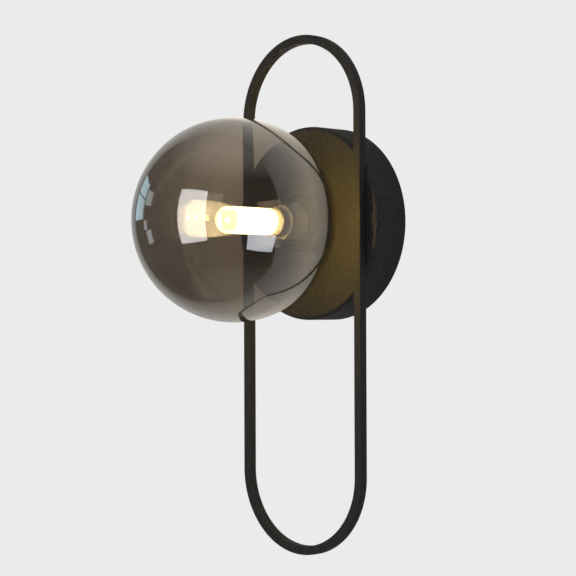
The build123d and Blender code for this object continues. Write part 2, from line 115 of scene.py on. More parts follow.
class SconceColours(bpy.types.PropertyGroup):
    """Colours of the finishes."""
    canopy_black: colour("Canopy black", "Powder coat on the canopy", (0.022, 0.0222, 0.0235))
    ring_black: colour("Ring black", "Powder coat on the ring", (0.02, 0.02, 0.0205))
    smoke: colour("Smoke glass", "Tint of one glass wall", (0.54, 0.48, 0.415))
    cover_clear: colour("Lamp cover", "Tint of the lamp's clear cover", (0.97, 0.95, 0.9))
    phosphor: colour("Phosphor", "Face of a light chip, unlit", (0.95, 0.72, 0.22))
    glow: colour("Glow", "Colour of the lamp's light", (1.0, 0.77, 0.24))
    haze: colour("Haze", "Glow of the lamp's cover", (1.0, 0.8, 0.36))
    chip_strength: number("Chip strength", "Brightness of the chips, where 1 is white", 3300.0)
    cover_strength: number("Cover strength", "Brightness of the haze in the lamp's cover", 6.0)
    board_painted_glow: number("Board strength", "Brightness of the chips' light on their board", 2.2)
    ceramic_white: colour("Ceramic", "Lampholder body", (0.86, 0.83, 0.76))
    lamp_white: colour("Lamp white", "Moulded base of the lamp", (0.86, 0.85, 0.81))
    board_white: colour("Board", "Solder mask of the chip board", (0.82, 0.81, 0.74))
    turned_silver: colour("Turned metal", "Carrier, nipple and nut", (0.66, 0.66, 0.67))
    zinc_silver: colour("Zinc", "Zinc plated steel", (0.6, 0.62, 0.65))
    spring_grey: colour("Spring steel", "Circlip and toothed washer", (0.42, 0.42, 0.44))
    brass_yellow: colour("Brass", "Contacts and terminals", (0.74, 0.56, 0.27))
    pin_silver: colour("Pins", "Lamp pins", (0.72, 0.72, 0.72))
    block_white: colour("Terminal block", "Body of the terminal block", (0.78, 0.79, 0.76))
    silicone_white: colour("Seal", "Silicone ring under the globe", (0.68, 0.68, 0.66))
    rubber_black: colour("Bush", "Rubber of the cable bush", (0.028, 0.028, 0.028))
    screw_black: colour("Black screws", "Blackened steel", (0.03, 0.03, 0.032))
    lead_brown: colour("Live lead", "Insulation of the live lead", (0.17, 0.07, 0.03))
    lead_blue: colour("Neutral lead", "Insulation of the neutral lead", (0.04, 0.16, 0.45))
    lead_green: colour("Earth lead", "Insulation of the earth lead", (0.1, 0.36, 0.08))


class SconceStage(bpy.types.PropertyGroup):
    """Camera, lamps and backdrop."""
    turn: angle("Turn", "Camera's turn from straight ahead", 44.789)
    lift: angle("Lift", "Camera's angle above the level", -0.66)
    roll: angle("Roll", "Camera's lean", -0.202)
    distance: length("Distance", "Camera to the middle of the view", 1.098123)
    aside: bpy.props.FloatProperty(name="Aside", description="Shift of the view to the side",
                                   default=-0.0289, unit="LENGTH")
    height: bpy.props.FloatProperty(name="Height", description="Height of the view's middle",
                                    default=-0.039881, unit="LENGTH")
    lens: number("Lens", "Focal length in millimetres on a 36 mm sensor", 108.781)
    backdrop: colour("Backdrop", "Pale ground behind the sconce", (0.83, 0.83, 0.83))
    room_light: number("Room light", "Even light from all sides", 0.45)
    softbox_light: number("Softbox light", "Brightness of the softbox, where 1 is white", 2.6)


# ---- Meshes ----

def link(name, mesh):
    piece = bpy.data.objects.new(name, mesh)
    bpy.context.scene.collection.objects.link(piece)
    return piece


def spun(name, outline, segments):
    """A closed outline of (radius, distance from the wall) turned round the lamp's axis."""
    shape = bmesh.new()
    rings = []
    for radius, distance in outline:
        if radius < TINY:
            rings.append([shape.verts.new((0, -distance, 0))])
        else:
            turns = [2 * math.pi * step / segments for step in range(segments)]
            rings.append([shape.verts.new((radius * math.cos(turn), -distance, radius * math.sin(turn)))
                          for turn in turns])
    for here, after in zip(rings, rings[1:] + rings[:1]):
        if len(here) == len(after) == 1:
            continue
        for step in range(segments):
            following = (step + 1) % segments
            corners = [here[step % len(here)], here[following % len(here)],
                       after[following % len(after)], after[step % len(after)]]
            shape.faces.new(list(dict.fromkeys(corners)))
    bmesh.ops.recalc_face_normals(shape, faces=shape.faces)
    for face in shape.faces:
        face.smooth = True
    mesh = bpy.data.meshes.new(name)
    shape.to_mesh(mesh)
    shape.free()
    return mesh


def loop_mesh(name, points):
    """Points joined in a closed loop, for a geometry tree to follow."""
    edges = [(i, (i + 1) % len(points)) for i in range(len(points))]
    mesh = bpy.data.meshes.new(name)
    mesh.from_pydata(points, edges, [])
    return mesh


def arc(centre, radius, start, end, steps):
    return [(centre[0] + radius * math.cos(start + (end - start) * i / steps),
             centre[1] + radius * math.sin(start + (end - start) * i / steps))
            for i in range(steps + 1)]


def flat_sheet(name, corners, material):
    """One flat face with these corners."""
    mesh = bpy.data.meshes.new(name)
    mesh.from_pydata(corners, [], [tuple(range(len(corners)))])
    mesh.materials.append(material)
    return link(name, mesh)


# ---- Node trees ----

def put(tree, kind, inputs=None, **settings):
    """Adds a node; its inputs are values or other nodes' outputs, by name or number."""
    node = tree.nodes.new(kind)
    for name, value in settings.items():
        setattr(node, name, value)
    for key, value in (inputs or {}).items():
        if isinstance(value, bpy.types.NodeSocket):
            tree.links.new(value, node.inputs[key])
        else:
            node.inputs[key].default_value = value
    return node


def out(tree, kind, inputs=None, **settings):
    """Adds a node and gives its first output."""
    return put(tree, kind, inputs, **settings).outputs[0]


def sum_up(tree, operation, *values):
    return out(tree, "ShaderNodeMath", dict(enumerate(values)), operation=operation)


def times(tree, first, second):
    return sum_up(tree, "MULTIPLY", first, second)


def parts_of(tree, place):
    return put(tree, "ShaderNodeSeparateXYZ", {0: place}).outputs


def spread(tree, value, low, high, to_low=0.0, to_high=1.0):
    return out(tree, "ShaderNodeMapRange", {"Value": value, "From Min": low, "From Max": high,
                                            "To Min": to_low, "To Max": to_high})


def tinted(tree, share, first, second):
    return put(tree, "ShaderNodeMix", {0: share, 6: first, 7: second}, data_type="RGBA").outputs[2]


def noise(tree, place, scale, detail=2.0, roughness=0.5):
    return out(tree, "ShaderNodeTexNoise", {"Vector": place, "Scale": scale, "Detail": detail,
                                            "Roughness": roughness})


def stretched(tree, place, scale):
    return out(tree, "ShaderNodeMapping", {"Vector": place, "Scale": scale})


def lit(shade, factor=1.0):
    """A colour as a node wants it, made lighter or darker."""
    return (*[min(1.0, part * factor) for part in shade], 1.0)


def varied(tree, share, shade, dark, light):
    """A colour that goes from a darker to a lighter shade of itself."""
    return tinted(tree, share, lit(shade, dark), lit(shade, light))


FLOAT, VECTOR = "NodeSocketFloat", "NodeSocketVector"
GLOBE_SEGMENTS, SLEEVE_SEGMENTS, BALL_STEPS = 192, 144, 90
RING_END_STEPS, RING_LEG_STEPS = 96, 24


def effect(name, inputs, outputs):
    """An empty group of shader nodes, with its named inputs and outputs."""
    tree = bpy.data.node_groups.new(name, "ShaderNodeTree")
    for label, kind in inputs:
        tree.interface.new_socket(label, in_out="INPUT", socket_type=kind)
    for label in outputs:
        tree.interface.new_socket(label, in_out="OUTPUT", socket_type=FLOAT)
    return tree, tree.nodes.new("NodeGroupInput").outputs, tree.nodes.new("NodeGroupOutput").inputs


def powder_coat():
    """Orange peel and grain of a fine-textured powder coat, with lighter flecks painted in as its sparkle.
    """
    tree, given, made = effect("powder_coat", [("Place", VECTOR), ("Grain", FLOAT)],
                               ["Height", "Cloud", "Painted sparkle"])
    fine = noise(tree, given["Place"], given["Grain"], 3.0, 0.6)
    pebbles = put(tree, "ShaderNodeTexVoronoi", {"Vector": given["Place"], "Smoothness": 0.6,
                  "Scale": times(tree, given["Grain"], 0.7)},
                  feature="SMOOTH_F1").outputs["Distance"]
    height = sum_up(tree, "SUBTRACT", times(tree, fine, 0.8), times(tree, pebbles, 0.5))
    tree.links.new(height, made["Height"])
    tree.links.new(noise(tree, given["Place"], 38.0, 4.0, 0.55), made["Cloud"])
    sparkle_noise = noise(tree, given["Place"], times(tree, given["Grain"], 1.35), 1.0)
    tree.links.new(spread(tree, sparkle_noise, 0.62, 0.74), made["Painted sparkle"])
    return tree


def handling():
    """Faint smears where a surface has been touched."""
    tree, given, made = effect("handling", [("Place", VECTOR), ("Scale", FLOAT)], ["Smear"])
    soft = noise(tree, given["Place"], given["Scale"], 3.0, 0.6)
    streaky = noise(tree, stretched(tree, given["Place"], (1.0, 0.3, 2.6)),
                    times(tree, given["Scale"], 4.0), 2.0)
    smear = times(tree, spread(tree, soft, 0.45, 0.7), spread(tree, streaky, 0.3, 0.75))
    tree.links.new(smear, made["Smear"])
    return tree


def turning():
    """Rings left by a lathe about the lamp's axis."""
    tree, given, made = effect("turning", [("Place", VECTOR), ("Lines", FLOAT)], ["Height", "Line"])
    parts = parts_of(tree, given["Place"])
    squares = sum_up(tree, "ADD", times(tree, parts[0], parts[0]),
                     times(tree, parts[2], parts[2]))
    along = sum_up(tree, "ADD", parts[1], sum_up(tree, "SQRT", squares))
    rings = out(tree, "ShaderNodeTexNoise", {"W": along, "Scale": given["Lines"], "Detail": 3.0},
                noise_dimensions="1D")
    tree.links.new(rings, made["Height"])
    tree.links.new(spread(tree, rings, 0.35, 0.65), made["Line"])
    return tree


def moulding():
    """Skin of a moulded or fired piece: fine grain and a soft tone."""
    tree, given, made = effect("moulding", [("Place", VECTOR), ("Grain", FLOAT)],
                               ["Height", "Tone", "Speck"])
    tree.links.new(noise(tree, given["Place"], given["Grain"], 3.0, 0.55), made["Height"])
    tree.links.new(noise(tree, given["Place"], 90.0, 3.0), made["Tone"])
    dots = noise(tree, given["Place"], times(tree, given["Grain"], 0.8), 0.0)
    tree.links.new(spread(tree, dots, 0.68, 0.78), made["Speck"])
    return tree


def rolled_metal():
    """Fine lines and a soft bloom on sheet or wire; the lines run along the place's Y."""
    tree, given, made = effect("rolled_metal", [("Place", VECTOR), ("Grain", FLOAT)],
                               ["Height", "Line", "Bloom"])
    lines = noise(tree, stretched(tree, given["Place"], (1.0, 0.03, 1.0)), given["Grain"], 3.0, 0.6)
    tree.links.new(lines, made["Height"])
    tree.links.new(spread(tree, lines, 0.3, 0.7), made["Line"])
    tree.links.new(noise(tree, given["Place"], 130.0, 4.0, 0.6), made["Bloom"])
    return tree


def edge_rub_and_catchlight():
    """Edges that show lighter: wear where a plating is thin, and on the ring a painted catch light along
    its edges.
    """
    tree, given, made = effect("edge_rub_and_catchlight", [("Place", VECTOR)], ["Edge"])
    bend = put(tree, "ShaderNodeNewGeometry").outputs["Pointiness"]
    worn = times(tree, spread(tree, bend, 0.52, 0.6),
                  spread(tree, noise(tree, given["Place"], 260.0, 3.0), 0.35, 0.6))
    tree.links.new(worn, made["Edge"])
    return tree


EFFECTS = {}


def use(tree, maker, **inputs):
    """Places an effect in a material; it is built the first time."""
    if maker.__name__ not in EFFECTS:
        EFFECTS[maker.__name__] = maker()
    group = EFFECTS[maker.__name__]
    return put(tree, "ShaderNodeGroup", {key.capitalize(): value for key, value in inputs.items()},
               node_tree=group).outputs


class Finish:
    """A material with one principled surface, on the piece's own coordinates."""

    def __init__(self, name, **plain):
        self.material = bpy.data.materials.new(name)
        self.material.use_nodes = True
        self.tree = self.material.node_tree
        self.surface = self.tree.nodes["Principled BSDF"]
        self.place = put(self.tree, "ShaderNodeTexCoord").outputs["Object"]
        for label, value in plain.items():
            self.set(label.replace("_", " ").title().replace("Ior", "IOR"), value)

    def set(self, label, value):
        socket = self.surface.inputs[label]
        if isinstance(value, bpy.types.NodeSocket):
            self.tree.links.new(value, socket)
        else:
            socket.default_value = value

    def bump(self, height, depth, strength=1.0):
        """Depth is how far the height's full range stands up, in metres."""
        self.set("Normal", out(self.tree, "ShaderNodeBump", {"Height": height, "Distance": depth,
                                                             "Strength": strength}))


def powder_finish(name, shade, grain=1150.0, rub_and_catchlight=0.0):
    """Matt black powder coat with a fine texture."""
    coat = Finish(name, specular_ior_level=0.2)
    tree = coat.tree
    look = use(tree, powder_coat, place=coat.place, grain=grain)
    smear = use(tree, handling, place=coat.place, scale=22.0)["Smear"]
    tone = varied(tree, look["Cloud"], shade, 0.82, 1.18)
    # Painted sparkle: lighter flecks in the coat's colour stand in for glints off its grains.
    tone = tinted(tree, times(tree, look["Painted sparkle"], 0.9), tone, lit(shade, 5.0))
    # Painted highlight: on the ring the edges are lightened in the coat's colour as a catch light along the
    # bar.
    if rub_and_catchlight:
        edge = use(tree, edge_rub_and_catchlight, place=coat.place)["Edge"]
        tone = tinted(tree, times(tree, edge, rub_and_catchlight), tone, lit(shade, 2.6))
    coat.set("Base Color", tone)
    rough = spread(tree, look["Cloud"], 0.3, 0.7, 0.58, 0.68)
    coat.set("Roughness", sum_up(tree, "SUBTRACT", rough, times(tree, smear, 0.06)))
    coat.bump(look["Height"], 0.00026, 0.8)
    return coat.material


def smoke_finish(name, shade):
    """Smoke glass with a thin mirror coat; lamps shine through it with its tint."""
    glass = Finish(name, metallic=0.0, roughness=0.0, ior=1.5, transmission_weight=1.0,
                   specular_ior_level=0.5, coat_weight=1.0, coat_roughness=0.0, coat_ior=1.9)
    tree = glass.tree
    pull = noise(tree, stretched(tree, glass.place, (9.0, 2.0, 9.0)), 4.0, 3.0)
    tone = varied(tree, pull, shade, 0.965, 1.035)
    glass.set("Base Color", tone)
    wave = noise(tree, glass.place, 26.0, 1.0)
    glass.bump(wave, 0.00003)
    return let_lamps_through(glass, tinted(tree, pull, lit([part ** 0.5 for part in shade], 0.85),
                                           lit([part ** 0.5 for part in shade], 0.89)))


def let_lamps_through(glass, tone, haze=None):
    """Light off a matt surface passes the glass straight; the camera and clean reflections see it whole."""
    tree = glass.tree
    ray = put(tree, "ShaderNodeLightPath").outputs
    clean = sum_up(tree, "MAXIMUM", ray["Is Camera Ray"], ray["Is Singular Ray"])
    stray = sum_up(tree, "MAXIMUM", ray["Is Shadow Ray"], sum_up(tree, "SUBTRACT", 1.0, clean))
    clear = out(tree, "ShaderNodeBsdfTransparent", {"Color": tone})
    joined = out(tree, "ShaderNodeMixShader", {0: stray, 1: glass.surface.outputs[0], 2: clear})
    if haze:
        joined = out(tree, "ShaderNodeAddShader", {0: joined, 1: haze})
    tree.links.new(joined, tree.nodes["Material Output"].inputs["Surface"])
    return glass.material


def cover_finish(name, shade, glow, strength, lit_from, lit_to):
    """Clear cover of the lamp, faintly frosted so that the chips run together."""
    glass = Finish(name, metallic=0.0, roughness=0.07, ior=1.46, transmission_weight=1.0)
    tree = glass.tree
    haze = noise(tree, glass.place, 500.0, 2.0)
    tone = tinted(tree, haze, lit(shade, 0.97), lit(shade))
    glass.set("Base Color", tone)
    edge = put(tree, "ShaderNodeLayerWeight", {"Blend": 0.5}).outputs["Facing"]
    shine = tinted(tree, edge, (1.0, 0.93, 0.7, 1.0), lit(glow))
    along = times(tree, parts_of(tree, glass.place)[1], -1.0)
    uneven = spread(tree, noise(tree, glass.place, 260.0, 2.0), 0.3, 0.7, 0.6 * strength, strength)
    band = times(tree, spread(tree, along, lit_from - 1.5 * MM, lit_from + 1.5 * MM),
                  spread(tree, along, lit_to - 2.5 * MM, lit_to + 1.5 * MM, 1.0, 0.12))
    power = times(tree, times(tree, uneven, band), spread(tree, edge, 0.3, 0.95, 1.0, 0.3))
    mirrored = put(tree, "ShaderNodeLightPath").outputs["Glossy Depth"]
    power = times(tree, power, spread(tree, mirrored, 0.0, 1.0, 1.0, 0.4))
    milky = out(tree, "ShaderNodeEmission", {"Color": shine, "Strength": power})
    return let_lamps_through(glass, varied(tree, haze, shade, 0.95, 0.99), milky)


def moulded_finish(name, shade, grain=2200.0, rough=(0.35, 0.5), depth=0.00003, specks=0.1, **plain):
    """A moulded, fired or cast surface with fine grain."""
    skin = Finish(name, **plain)
    tree = skin.tree
    look = use(tree, moulding, place=skin.place, grain=grain)
    smear = use(tree, handling, place=skin.place, scale=60.0)["Smear"]
    tone = varied(tree, look["Tone"], shade, 0.93, 1.05)
    tone = tinted(tree, times(tree, look["Speck"], specks), tone, lit(shade, 0.45))
    skin.set("Base Color", tone)
    skin.set("Roughness", sum_up(tree, "ADD", spread(tree, look["Tone"], 0.3, 0.7, *rough),
                                 times(tree, smear, 0.05)))
    skin.bump(look["Height"], depth)
    return skin.material


def turned_finish(name, shade, lines=9000.0, rough=(0.22, 0.36)):
    """Metal turned on a lathe about the lamp's axis."""
    metal = Finish(name, metallic=1.0)
    tree = metal.tree
    look = use(tree, turning, place=metal.place, lines=lines)
    smear = use(tree, handling, place=metal.place, scale=70.0)["Smear"]
    tone = varied(tree, look["Line"], shade, 0.9, 1.06)
    metal.set("Base Color", tinted(tree, times(tree, smear, 0.3), tone, lit(shade, 0.7)))
    metal.set("Roughness", sum_up(tree, "ADD", spread(tree, look["Line"], 0.0, 1.0, *rough),
                                  times(tree, smear, 0.12)))
    metal.bump(look["Height"], 0.00001, 0.8)
    return metal.material


def rolled_finish(name, shade, along=(0.0, 0.0, 0.0), grain=3000.0, rough=(0.28, 0.42)):
    """Plated or bare steel sheet and wire, its lines turned to run along the piece."""
    metal = Finish(name, metallic=1.0)
    tree = metal.tree
    place = out(tree, "ShaderNodeMapping", {"Vector": metal.place, "Rotation": along})
    look = use(tree, rolled_metal, place=place, grain=grain)
    edge = use(tree, edge_rub_and_catchlight, place=metal.place)["Edge"]
    tone = varied(tree, look["Bloom"], shade, 0.86, 1.08)
    tone = tinted(tree, times(tree, look["Line"], 0.25), tone, lit(shade, 0.8))
    metal.set("Base Color", tinted(tree, times(tree, edge, 0.5), tone, lit(shade, 1.35)))
    metal.set("Roughness", spread(tree, look["Bloom"], 0.3, 0.7, *rough))
    metal.bump(look["Height"], 0.000008)
    return metal.material


def board_finish(name, shade, glow, strength):
    """White chip board with pale copper tracks under its mask; the chips' light on it is painted as a glow
    of its own.
    """
    # Painted light: the board glows with the chips' light instead of being lit by them.
    board = Finish(name, emission_color=lit(glow), emission_strength=strength)
    tree = board.tree
    look = use(tree, moulding, place=board.place, grain=2500.0)
    tracks = put(tree, "ShaderNodeTexBrick", {"Vector": board.place,
                 "Scale": 260.0, "Mortar Size": 0.03, "Color1": lit(shade), "Color2": lit(shade, 0.96),
                 "Mortar": lit(shade, 0.82)}).outputs["Color"]
    board.set("Base Color", tinted(tree, times(tree, look["Speck"], 0.1), tracks,
                                   lit(shade, 0.6)))
    board.set("Roughness", spread(tree, look["Tone"], 0.3, 0.7, 0.35, 0.5))
    board.bump(look["Height"], 0.00001)
    return board.material


def phosphor_finish(name, shade, glow, strength):
    """Yellow face of a chip, glowing a little unevenly."""
    face = Finish(name, emission_strength=strength)
    tree = face.tree
    patch = noise(tree, face.place, 700.0, 2.0)
    face.set("Base Color", varied(tree, patch, shade, 0.9, 1.05))
    face.set("Emission Color", tinted(tree, patch, lit(glow, 0.94), lit(glow, 1.0)))
    face.set("Roughness", spread(tree, patch, 0.3, 0.7, 0.35, 0.5))
    return face.material


def dress(material, *nodes):
    """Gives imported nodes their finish."""
    for name in nodes:
        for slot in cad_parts[name].material_slots:
            slot.material = material


# ---- Geometry trees ----

def geometry_tree(name, inputs):
    """An empty geometry tree with its geometry and named inputs."""
    tree = bpy.data.node_groups.new(name, "GeometryNodeTree")
    tree.interface.new_socket("Geometry", in_out="INPUT", socket_type="NodeSocketGeometry")
    for label, kind in inputs:
        tree.interface.new_socket(label, in_out="INPUT", socket_type=kind)
    tree.interface.new_socket("Geometry", in_out="OUTPUT", socket_type="NodeSocketGeometry")
    return tree, tree.nodes.new("NodeGroupInput").outputs, tree.nodes.new("NodeGroupOutput").inputs


def grow(name, tree, start, sizes):
    """Runs a geometry tree on a start mesh and keeps the result as a plain piece."""
    seed = link(name + "_start", start)
    maker = seed.modifiers.new(name, "NODES")
    maker.node_group = tree
    for item in tree.interface.items_tree:
        if item.in_out == "INPUT" and item.name in sizes:
            maker[item.identifier] = sizes[item.name]
    bpy.context.view_layer.update()
    ready = seed.evaluated_get(bpy.context.evaluated_depsgraph_get())
    mesh = bpy.data.meshes.new_from_object(ready)
    if not mesh.polygons:
        raise RuntimeError(f"the tree of {name} made no faces")
    mesh.name = name
    shape = bmesh.new()
    shape.from_mesh(mesh)
    bmesh.ops.recalc_face_normals(shape, faces=shape.faces)
    shape.to_mesh(mesh)
    shape.free()
    seed.modifiers.remove(maker)
    bpy.data.objects.remove(seed)
    return link(name, mesh)


def joined(tree, *shapes):
    both = tree.nodes.new("GeometryNodeJoinGeometry")
    for shape in shapes:
        tree.links.new(shape, both.inputs[0])
    return both.outputs[0]


def coated(tree, shape, material):
    """A shape made into one plain mesh with one material."""
    plain_shape = out(tree, "GeometryNodeRealizeInstances", {0: shape})
    return out(tree, "GeometryNodeSetMaterial", {"Geometry": plain_shape, "Material": material})


def bar_along_path():
    """A bar with rounded edges that follows a flat path."""
    tree, given, made = geometry_tree("bar_along_path", [
        ("Bar Width", FLOAT), ("Bar Depth", FLOAT), ("Edge Radius", FLOAT),
        ("Finish", "NodeSocketMaterial")])
    path = out(tree, "GeometryNodeMeshToCurve", {0: given["Geometry"]})
    path = out(tree, "GeometryNodeSetCurveNormal", {"Curve": path, "Normal": (0.0, 1.0, 0.0)},
               mode="FREE")
    section = out(tree, "GeometryNodeCurvePrimitiveQuadrilateral",
                  {"Width": given["Bar Depth"], "Height": given["Bar Width"]}, mode="RECTANGLE")
    section = out(tree, "GeometryNodeFilletCurve", {"Curve": section, "Radius": given["Edge Radius"],
                                                    "Count": 4}, mode="POLY")
    bar = out(tree, "GeometryNodeCurveToMesh", {"Curve": path, "Profile Curve": section})
    bar = out(tree, "GeometryNodeSetShadeSmooth", {"Geometry": bar, "Shade Smooth": True})
    tree.links.new(coated(tree, bar, given["Finish"]), made["Geometry"])
    return tree


def thread_on_sleeve():
    """A screw ridge wound round a turned sleeve."""
    tree, given, made = geometry_tree("thread_on_sleeve", [
        ("Crest Radius", FLOAT), ("Ridge", FLOAT), ("Turns", FLOAT), ("Rise", FLOAT),
        ("Thread Start", FLOAT), ("Finish", "NodeSocketMaterial")])
    middle = sum_up(tree, "SUBTRACT", given["Crest Radius"], given["Ridge"])
    spiral = out(tree, "GeometryNodeCurveSpiral", {"Resolution": 72, "Rotations": given["Turns"],
                 "Start Radius": middle, "End Radius": middle, "Height": given["Rise"]})
    spiral = out(tree, "GeometryNodeSetCurveNormal", {"Curve": spiral}, mode="Z_UP")
    section = out(tree, "GeometryNodeCurvePrimitiveCircle", {"Resolution": 4, "Radius": given["Ridge"]},
                  mode="RADIUS")
    ridge = out(tree, "GeometryNodeCurveToMesh", {"Curve": spiral, "Profile Curve": section,
                                                  "Fill Caps": True})
    place = out(tree, "ShaderNodeCombineXYZ",
                {"Y": times(tree, given["Thread Start"], -1.0)})
    ridge = out(tree, "GeometryNodeTransform", {"Geometry": ridge, "Translation": place,
                                                "Rotation": (math.pi / 2, 0.0, 0.0)})
    sleeve = joined(tree, ridge, given["Geometry"])
    tree.links.new(coated(tree, sleeve, given["Finish"]), made["Geometry"])
    return tree


def chip_rows():
    """One chip repeated in rows on the four sides of the lamp's core, and once on its end."""
    tree, given, made = geometry_tree("chip_rows", [
        ("Rows", "NodeSocketInt"), ("Spacing", FLOAT), ("First Row", FLOAT), ("Side", FLOAT),
        ("End", FLOAT), ("Housing", "NodeSocketMaterial"), ("Phosphor", "NodeSocketMaterial")])
    first = times(tree, given["First Row"], -1.0)
    step = times(tree, given["Spacing"], -1.0)
    start = out(tree, "ShaderNodeCombineXYZ", {"Y": first, "Z": given["Side"]})
    offset = out(tree, "ShaderNodeCombineXYZ", {"Y": step})
    row = out(tree, "GeometryNodeMeshLine", {"Count": given["Rows"], "Start Location": start,
                                             "Offset": offset}, mode="OFFSET")
    side = out(tree, "GeometryNodeInstanceOnPoints",
               {"Points": row, "Instance": given["Geometry"]})
    hub = out(tree, "GeometryNodeMeshLine", {"Count": 4, "Offset": (0.0, 0.0, 0.0)},
              mode="OFFSET")
    index = out(tree, "GeometryNodeInputIndex")
    quarter = times(tree, index, math.pi / 2)
    turn = out(tree, "ShaderNodeCombineXYZ", {"Y": quarter})
    sides = out(tree, "GeometryNodeInstanceOnPoints",
                {"Points": hub, "Instance": side, "Rotation": turn})
    end_place = out(tree, "ShaderNodeCombineXYZ",
                    {"Y": times(tree, given["End"], -1.0)})
    end = out(tree, "GeometryNodeTransform", {"Geometry": given["Geometry"], "Translation": end_place,
                                              "Rotation": (math.pi / 2, 0.0, 0.0)})
    chips = coated(tree, joined(tree, sides, end), given["Housing"])
    shining = out(tree, "GeometryNodeInputNamedAttribute", {"Name": "phosphor"},
                  data_type="BOOLEAN")
    chips = out(tree, "GeometryNodeSetMaterial", {"Geometry": chips, "Selection": shining,
                                                  "Material": given["Phosphor"]})
    tree.links.new(chips, made["Geometry"])
    return tree


# ---- Pieces ----

def ring_path(half_width, half_height, distance):
    """Middle line of the ring: two straight legs joined by half circles."""
    middle = (highest("ring_frame").z + lowest("ring_frame").z) / 2
    straight = half_height - half_width
    points = []
    for sign, start in ((1, 0.0), (-1, math.pi)):
        points += [(x, -distance, middle + sign * straight + z)
                   for x, z in arc((0, 0), half_width, start, start + math.pi, RING_END_STEPS)]
        leg = points[-1]
        points += [(leg[0], leg[1], leg[2] - sign * 2 * straight * i / RING_LEG_STEPS)
                   for i in range(1, RING_LEG_STEPS)]
    return points


def sleeve_outline(sizes):
    """Outline of the carrier: floor, thread root, relief, mouth, circlip groove and seat."""
    crest = box_size("globe_carrier").x / 2
    back, front = -highest("globe_carrier").y, -lowest("globe_carrier").y
    root, relief, bore = crest - 0.55 * MM, crest - 0.7 * MM, sizes.sleeve_bore
    thread_end, groove, seat = back + 8 * MM, front - 2.8 * MM, back + 2 * MM
    hole = box_size("hollow_nipple").x / 2 + 0.05 * MM
    return [(hole, back), (crest - 0.3 * MM, back), (crest, back + 0.3 * MM), (crest, back + 1.2 * MM),
            (root, back + 1.6 * MM), (root, thread_end - 0.5 * MM), (relief, thread_end),
            (relief, front - 0.2 * MM), (relief - 0.2 * MM, front), (bore, front), (bore, groove + 1 * MM),
            (bore + 0.6 * MM, groove + 1 * MM), (bore + 0.6 * MM, groove), (bore, groove), (bore, seat),
            (hole, seat)]


def chip_shape(long, wide, high):
    """One chip: a white housing with a sunk yellow face, standing on the lamp's side, long way along Y."""
    shape = bmesh.new()
    bmesh.ops.create_cube(shape, size=1.0)
    for vert in shape.verts:
        vert.co = Vector((vert.co.x * wide, vert.co.y * long, (vert.co.z + 0.5) * high))
    marker = shape.faces.layers.bool.new("phosphor")
    top = max(shape.faces, key=lambda face: face.calc_center_median().z)
    bmesh.ops.inset_individual(shape, faces=[top], thickness=0.16 * wide)
    bmesh.ops.inset_individual(shape, faces=[top], thickness=0.03 * wide, depth=-0.2 * high)
    bmesh.ops.inset_individual(shape, faces=[top], thickness=0.2 * wide, depth=0.05 * high)
    top[marker] = True
    for edge in top.edges:
        for face in edge.link_faces:
            face[marker] = True

    def at_corner(place):
        return abs(abs(place.x) - wide / 2) < TINY and abs(abs(place.y) - long / 2) < TINY

    rim = [edge for edge in shape.edges if all(at_corner(vert.co) for vert in edge.verts)]
    bmesh.ops.bevel(shape, geom=rim, offset=0.06 * wide, segments=2, affect="EDGES")
    mesh = bpy.data.meshes.new("chip")
    shape.to_mesh(mesh)
    shape.free()
    return mesh


def globe_outline(sizes):
    """Outline of the glass: outside from the neck's end to the pole, and back inside."""
    radius = box_size("globe_glass").x / 2
    pole = -lowest("globe_glass").y
    neck_end = -highest("globe_glass").y
    centre = pole - radius
    round_end = 0.4 * MM

    def wall(ball, side, bend):
        place = side + bend
        reach = ball + bend
        drop = math.sqrt(reach ** 2 - place ** 2)
        lean = math.atan2(drop, place)
        along = arc((place, centre - drop), bend, math.pi, lean, 14)
        ball_start = math.atan2(place, -drop)
        turns = [ball_start * (1 - i / BALL_STEPS) for i in range(1, BALL_STEPS + 1)]
        around = [(ball * math.sin(turn), centre + ball * math.cos(turn)) for turn in turns]
        foot = neck_end + round_end
        straight = [(side, foot + (centre - drop - foot) * i / 6) for i in range(6)]
        return straight + along + [(max(r, 0.0), d) for r, d in around]

    outside = wall(radius, sizes.neck_outside, sizes.neck_outer_bend)
    inside = wall(radius - sizes.globe_wall, sizes.neck_inside, sizes.neck_inner_bend)
    lip_in = arc((sizes.neck_inside + round_end, neck_end + round_end), round_end,
                 math.pi, 1.5 * math.pi, 5)
    lip_out = arc((sizes.neck_outside - round_end, neck_end + round_end), round_end,
                  1.5 * math.pi, 2 * math.pi, 5)
    return outside + inside[::-1] + lip_in[1:] + lip_out[:-1]


class SCONCE_OT_coat_canopy(bpy.types.Operator):
    """Give the canopy its powder coat"""
    bl_idname = "sconce.coat_canopy"
    bl_label = "Coat the canopy"

    def execute(self, context):
        shades = context.scene.sconce_colours
        dress(powder_finish("canopy_paint", shades.canopy_black), "canopy_shell")
        return {"FINISHED"}


class SCONCE_OT_bend_ring(bpy.types.Operator):
    """Bend the ring from square bar and coat it"""
    bl_idname = "sconce.bend_ring"
    bl_label = "Bend the ring"

    def execute(self, context):
        sizes, shades = context.scene.sconce_sizes, context.scene.sconce_colours
        whole = box_size("ring_frame")
        middle = -(highest("ring_frame").y + lowest("ring_frame").y) / 2
        path = ring_path((whole.x - sizes.bar_width) / 2, (whole.z - sizes.bar_width) / 2, middle)
        # The 0.5 lightens the ring's edges as a painted catch light.
        ring = grow("ring_bar", bar_along_path(), loop_mesh("ring_path", path), {
            "Bar Width": sizes.bar_width, "Bar Depth": whole.y, "Edge Radius": sizes.bar_edge,
            "Finish": powder_finish("ring_paint", shades.ring_black, 1700.0, 0.5)})
        even = ring.modifiers.new("even_faces", "WEIGHTED_NORMAL")
        even.weight = 80
        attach(ring, "fixture")
        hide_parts("ring_frame")
        dress(rolled_finish("zinc_screws", shades.zinc_silver), "ring_screws", "ring_washers")
        return {"FINISHED"}


